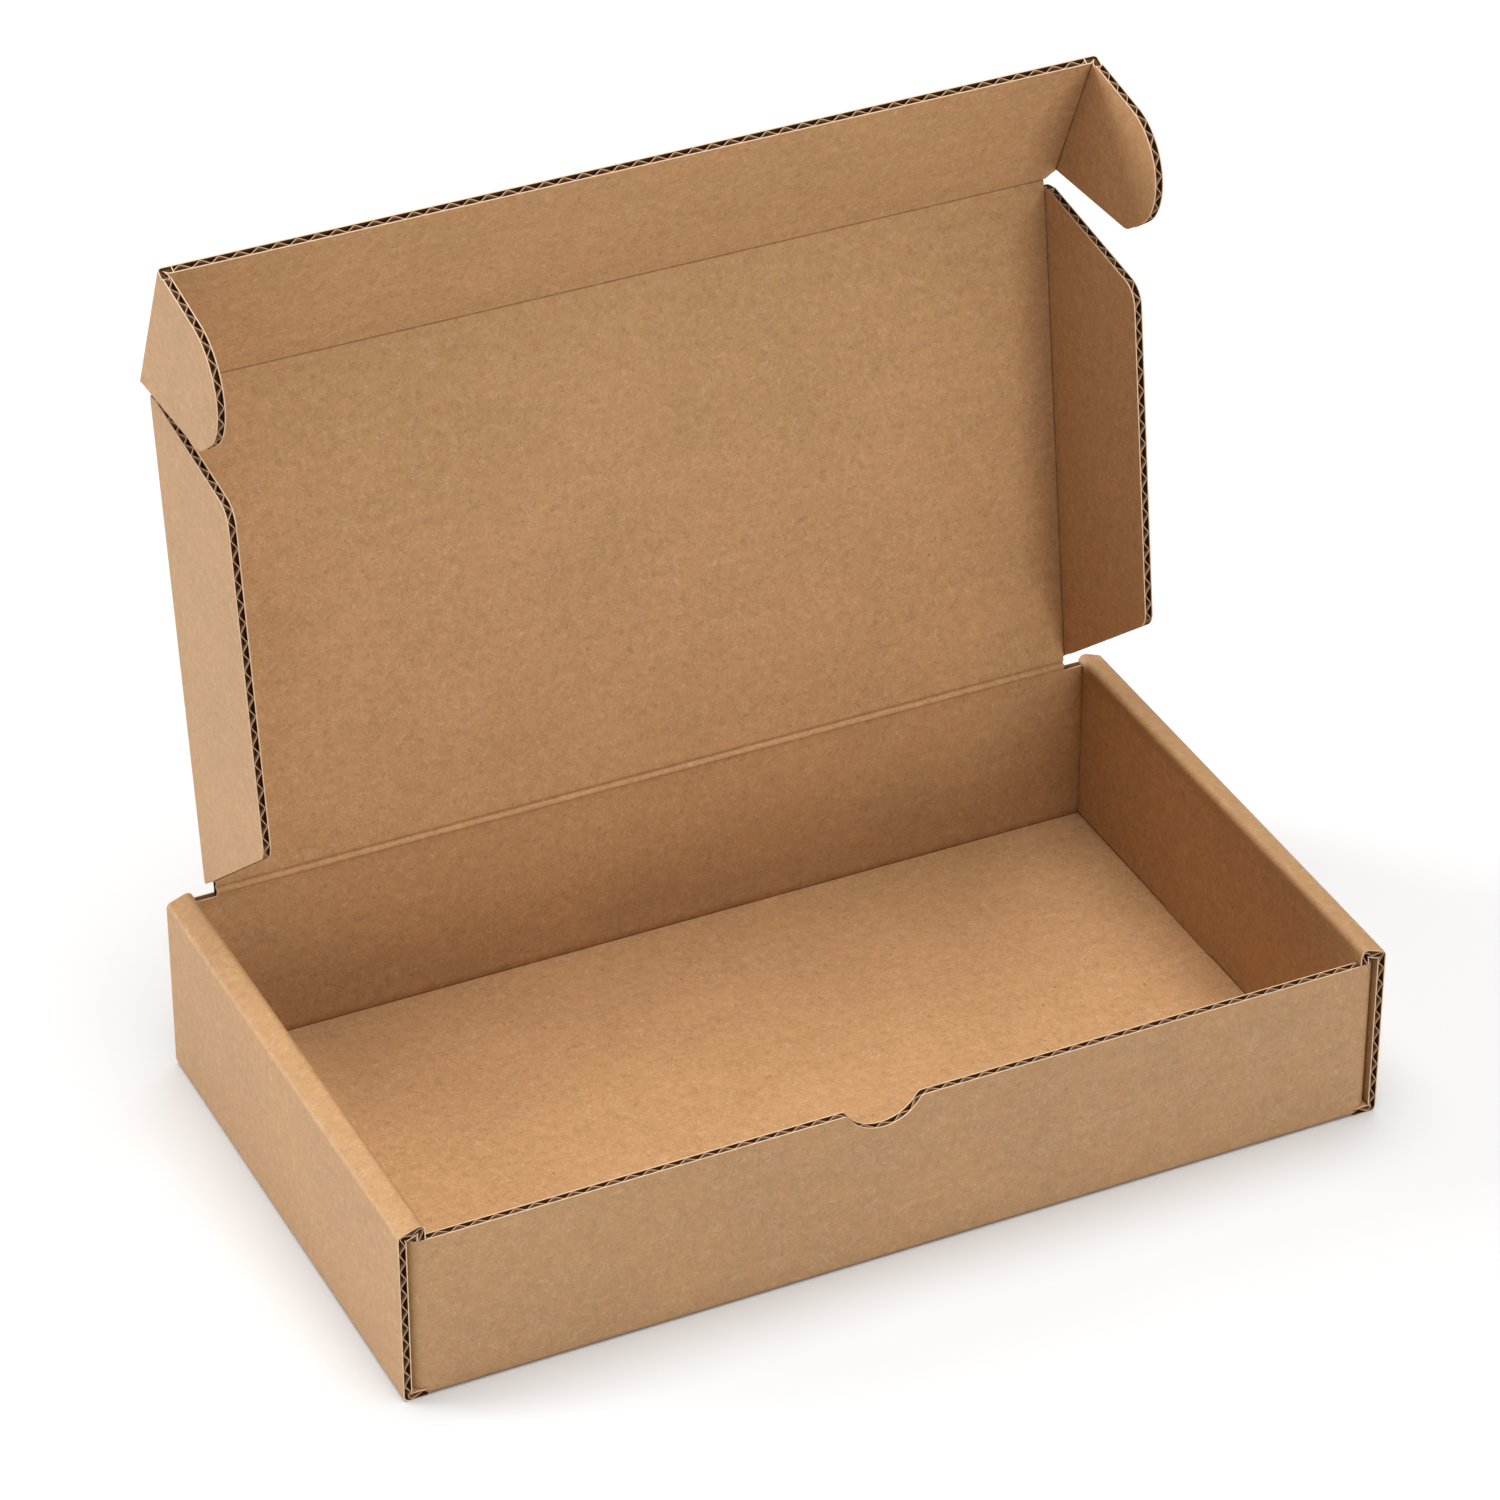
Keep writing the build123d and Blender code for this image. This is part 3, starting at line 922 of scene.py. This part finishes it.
def notch_line(tray):
    """The half-moon in the front wall's top edge, from right to left, with rounded shoulders."""
    half, depth, small = tray.notch_width / 2, tray.notch_depth, tray.notch_shoulder
    radius = (half**2 + depth**2) / (2 * depth)
    centre = Vector((tray.notch_centre, tray.front_height + radius - depth))
    drop = radius - depth + small
    spread = ((radius + small) ** 2 - drop**2) ** 0.5
    lean = atan2(spread, drop)

    def shoulder(side):
        hub = centre + Vector((side * spread, -drop))
        turns = [lean * k / SHOULDER_STEPS for k in range(SHOULDER_STEPS + 1)]
        return [hub + Vector((-side * sin(turn), cos(turn))) * small for turn in turns]

    sweeps = [lean * (1 - 2 * k / BOWL_STEPS) for k in range(1, BOWL_STEPS)]
    bowl = [centre + Vector((sin(sweep), -cos(sweep))) * radius for sweep in sweeps]
    return shoulder(1) + bowl + shoulder(-1)[::-1]


def make_lid():
    """The lid's flat panel, between its creases."""
    reach = bpy.context.scene.mailer_board.crease_reach
    side = SIDE_CREASE - reach
    maker = BoardMaker("lid_board")
    maker.flat(rectangle(-side, reach, side, LID_LENGTH - reach), LID_PLANE)
    maker.finish("lid", "lid_panel")


def make_end_flap(body, node, plane):
    """A side flap or an ear, past the crease that joins it, with all its other edges cut."""
    reach = bpy.context.scene.mailer_board.crease_reach
    maker = BoardMaker(f"{body}_board")
    outline = clip(cad_outline(node, plane), 0, reach, True)
    maker.flat(outline, plane, lambda middle: middle.x > reach + SAME_POINT)
    maker.finish(body, node)


def make_tuck_flap():
    """The tuck flap, past its crease and between the ears' creases."""
    board = bpy.context.scene.mailer_board
    maker = BoardMaker("tuck_flap_board")
    edge = EAR_CREASE - board.crease_reach
    outline = clip(cad_outline("front_tuck_flap", TUCK_PLANE), 1, board.crease_reach, True)
    outline = clip(clip(outline, 0, edge, False), 0, -edge, True)
    top = max(point.y for point in outline) - board.gap
    maker.flat(outline, TUCK_PLANE, lambda middle: middle.y > top)
    maker.finish("tuck_flap", "front_tuck_flap")


def make_creases():
    """The creases at the lid's four edges and at the ends of the tuck flap."""
    reach = bpy.context.scene.mailer_board.crease_reach
    back_wall = plane_of(HINGE_LINE, Z_AXIS, X_AXIS, -Y_AXIS)
    crease_piece("lid_crease", back_wall, -LID_UP.angle(Z_AXIS),
                 lambda s: (-LID_HALF_WIDTH, LID_HALF_WIDTH), LID_CREASE_RELIEF)
    tuck_outline = cad_outline("front_tuck_flap", TUCK_PLANE)
    root = span_of_root(clip(tuck_outline, 1, reach, False))
    lid_front = plane_of(TUCK_LINE, LID_UP, X_AXIS, LID_INNER)
    crease_piece("tuck_flap_crease", lid_front, LID_UP.angle(TUCK_UP),
                 lambda s: (-root(s), root(s)))
    highest = {"lid": LID_LENGTH - reach, "tuck_flap": max(point.y for point in tuck_outline)}
    for body, panel, node, plane in end_flaps():
        # The panel's own plane, whose local X runs towards the crease
        leaving, along, facing = (plane.col[k].to_3d() for k in range(3))
        panel_plane = plane_of(plane.translation, -facing, along, leaving)
        crease_piece(f"{body}_crease", panel_plane, pi / 2,
                     flap_span(cad_outline(node, plane), reach, highest[panel]))


def span_of_root(root):
    """Half the tuck flap's width at a distance from its crease, where it is as wide as the lid."""
    high, wide = max(point.y for point in root), max(point.x for point in root)

    def half_width(s):
        return LID_HALF_WIDTH + (wide - LID_HALF_WIDTH) * max(0.0, s) / high

    return half_width


def flap_span(outline, low, high):
    """The ends of a flap's crease: fixed on the panel, and along the flap's outline past it."""

    def ends(s):
        if s <= 0:
            return low, high
        bottom, top = span_at(outline, s)
        return max(low, bottom), min(high, top)

    return ends


# Operators


class MAILER_OT_paper(bpy.types.Operator):
    """Make the kraft papers and the tree that weaves the flutes"""

    bl_idname = "mailer.paper"
    bl_label = "Papers"

    def execute(self, context):
        paper = context.scene.mailer_paper
        kraft_group()
        paper_material("Inner liner", paper.inner_liner, paper.grain, shine=0.06)
        # The outer liner gets half the painted washboard shade
        paper_material("Outer liner", paper.outer_liner, paper.grain, fibres=0.8, washboard_shade_strength=0.5,
                       shine=0.5, roughness=-0.25)
        paper_material("Cut liner", paper.cut_liner, paper.grain * 0.6, fibres=0.2)
        paper_material("Medium", paper.medium, paper.grain * 0.6, fibres=0.3)
        # Painted shade for the flutes' hollows, laid on like a paper
        paper_material("Flute hollow", paper.hollow, paper.grain * 0.5, fibres=0.0)
        flute_tree()
        return {"FINISHED"}


class MAILER_OT_tray(bpy.types.Operator):
    """Build the tray from folded board"""

    bl_idname = "mailer.tray"
    bl_label = "Tray"

    def execute(self, context):
        make_tray()
        return {"FINISHED"}


class MAILER_OT_lid(bpy.types.Operator):
    """Build the lid's panel"""

    bl_idname = "mailer.lid"
    bl_label = "Lid"

    def execute(self, context):
        make_lid()
        return {"FINISHED"}


class MAILER_OT_flaps(bpy.types.Operator):
    """Build the lid's side flaps, the tuck flap and its ears"""

    bl_idname = "mailer.flaps"
    bl_label = "Flaps and ears"

    def execute(self, context):
        make_tuck_flap()
        for body, _, node, plane in end_flaps():
            make_end_flap(body, node, plane)
        return {"FINISHED"}


class MAILER_OT_creases(bpy.types.Operator):
    """Build the creases that join the lid and the flaps"""

    bl_idname = "mailer.creases"
    bl_label = "Creases"

    def execute(self, context):
        make_creases()
        return {"FINISHED"}


class MAILER_OT_studio(bpy.types.Operator):
    """Set the floor, the lamps and the camera"""

    bl_idname = "mailer.studio"
    bl_label = "Studio"

    def execute(self, context):
        studio = context.scene.mailer_studio
        make_floor()
        make_world(studio.sky)
        for name, direction, spread, strength in LAMPS:
            soft_lamp(name, direction, spread, getattr(studio, strength))
        make_camera(studio)
        context.scene.view_settings.view_transform = "Standard"
        return {"FINISHED"}


def make_floor():
    """A pale floor, white where no shadow falls."""
    material = bpy.data.materials.new("Pale floor")
    material.use_nodes = True
    shader = material.node_tree.nodes["Principled BSDF"]
    shader.inputs["Base Color"].default_value = (FLOOR_GREY, FLOOR_GREY, FLOOR_GREY, 1)
    shader.inputs["Roughness"].default_value = 0.9
    shader.inputs["Specular IOR Level"].default_value = 0.0
    mesh = bpy.data.meshes.new("floor")
    shell = bmesh.new()
    bmesh.ops.create_circle(shell, cap_ends=True, radius=FLOOR_RADIUS, segments=64,
                            matrix=Matrix.Translation((0, 0, -FLOOR_DROP)))
    shell.to_mesh(mesh)
    shell.free()
    mesh.materials.append(material)
    linked("floor", mesh)


def make_world(strength):
    """White surroundings: full white to the camera, softer as light."""
    world = bpy.data.worlds.new("White room")
    bpy.context.scene.world = world
    world.use_nodes = True
    wire = Wiring(world.node_tree)
    background = world.node_tree.nodes["Background"]
    background.inputs["Color"].default_value = (1, 1, 1, 1)
    seen = wire.add("ShaderNodeLightPath").outputs["Is Camera Ray"]
    wire.feed(background.inputs["Strength"],
              wire.plus(strength, wire.times(seen, 1.0 - strength)))


def soft_lamp(name, direction, spread, strength):
    """A large far lamp seen in one direction, spread degrees wide."""
    light = bpy.data.lights.new(name, "SUN")
    light.angle = radians(spread)
    light.energy = strength
    lamp = linked(name, light)
    lamp.location = direction
    lamp.rotation_euler = Vector(direction).to_track_quat("Z", "Y").to_euler()


def make_camera(studio):
    """The camera at the photograph's angle."""
    lens = bpy.data.cameras.new("camera")
    lens.sensor_width = SENSOR_WIDTH
    lens.lens = studio.focal_length
    camera = linked("camera", lens)
    a, e = studio.azimuth, studio.elevation
    back = Vector((sin(a) * cos(e), -cos(a) * cos(e), sin(e)))
    camera.location = Vector(studio.target) + back * studio.distance
    camera.rotation_euler = (-back).to_track_quat("-Z", "Y").to_euler()
    bpy.context.scene.camera = camera


class MAILER_PT_panel(bpy.types.Panel):
    """The mailer box's steps, in order"""

    bl_idname = "MAILER_PT_panel"
    bl_label = "Mailer box"
    bl_space_type = "VIEW_3D"
    bl_region_type = "UI"
    bl_category = "Mailer"

    def draw(self, context):
        for operator in OPERATORS:
            self.layout.operator(operator.bl_idname)


GROUPS = {
    "mailer_board": MailerBoard,
    "mailer_tray": MailerTray,
    "mailer_paper": MailerPaper,
    "mailer_studio": MailerStudio,
}
OPERATORS = (MAILER_OT_paper, MAILER_OT_tray, MAILER_OT_lid, MAILER_OT_flaps, MAILER_OT_creases,
             MAILER_OT_studio)
CLASSES = (*GROUPS.values(), *OPERATORS, MAILER_PT_panel)


def register():
    """Adds the classes and the scene's properties."""
    for cls in CLASSES:
        bpy.utils.register_class(cls)
    for name, group in GROUPS.items():
        setattr(bpy.types.Scene, name, PointerProperty(type=group))


def unregister():
    """Takes the properties and the classes away again."""
    for name in GROUPS:
        delattr(bpy.types.Scene, name)
    for cls in reversed(CLASSES):
        bpy.utils.unregister_class(cls)


def main():
    """Builds everything in order."""
    register()
    bpy.ops.mailer.paper()
    bpy.ops.mailer.tray()
    bpy.ops.mailer.lid()
    bpy.ops.mailer.flaps()
    bpy.ops.mailer.creases()
    bpy.ops.mailer.studio()


if __name__ == "__main__":
    main()
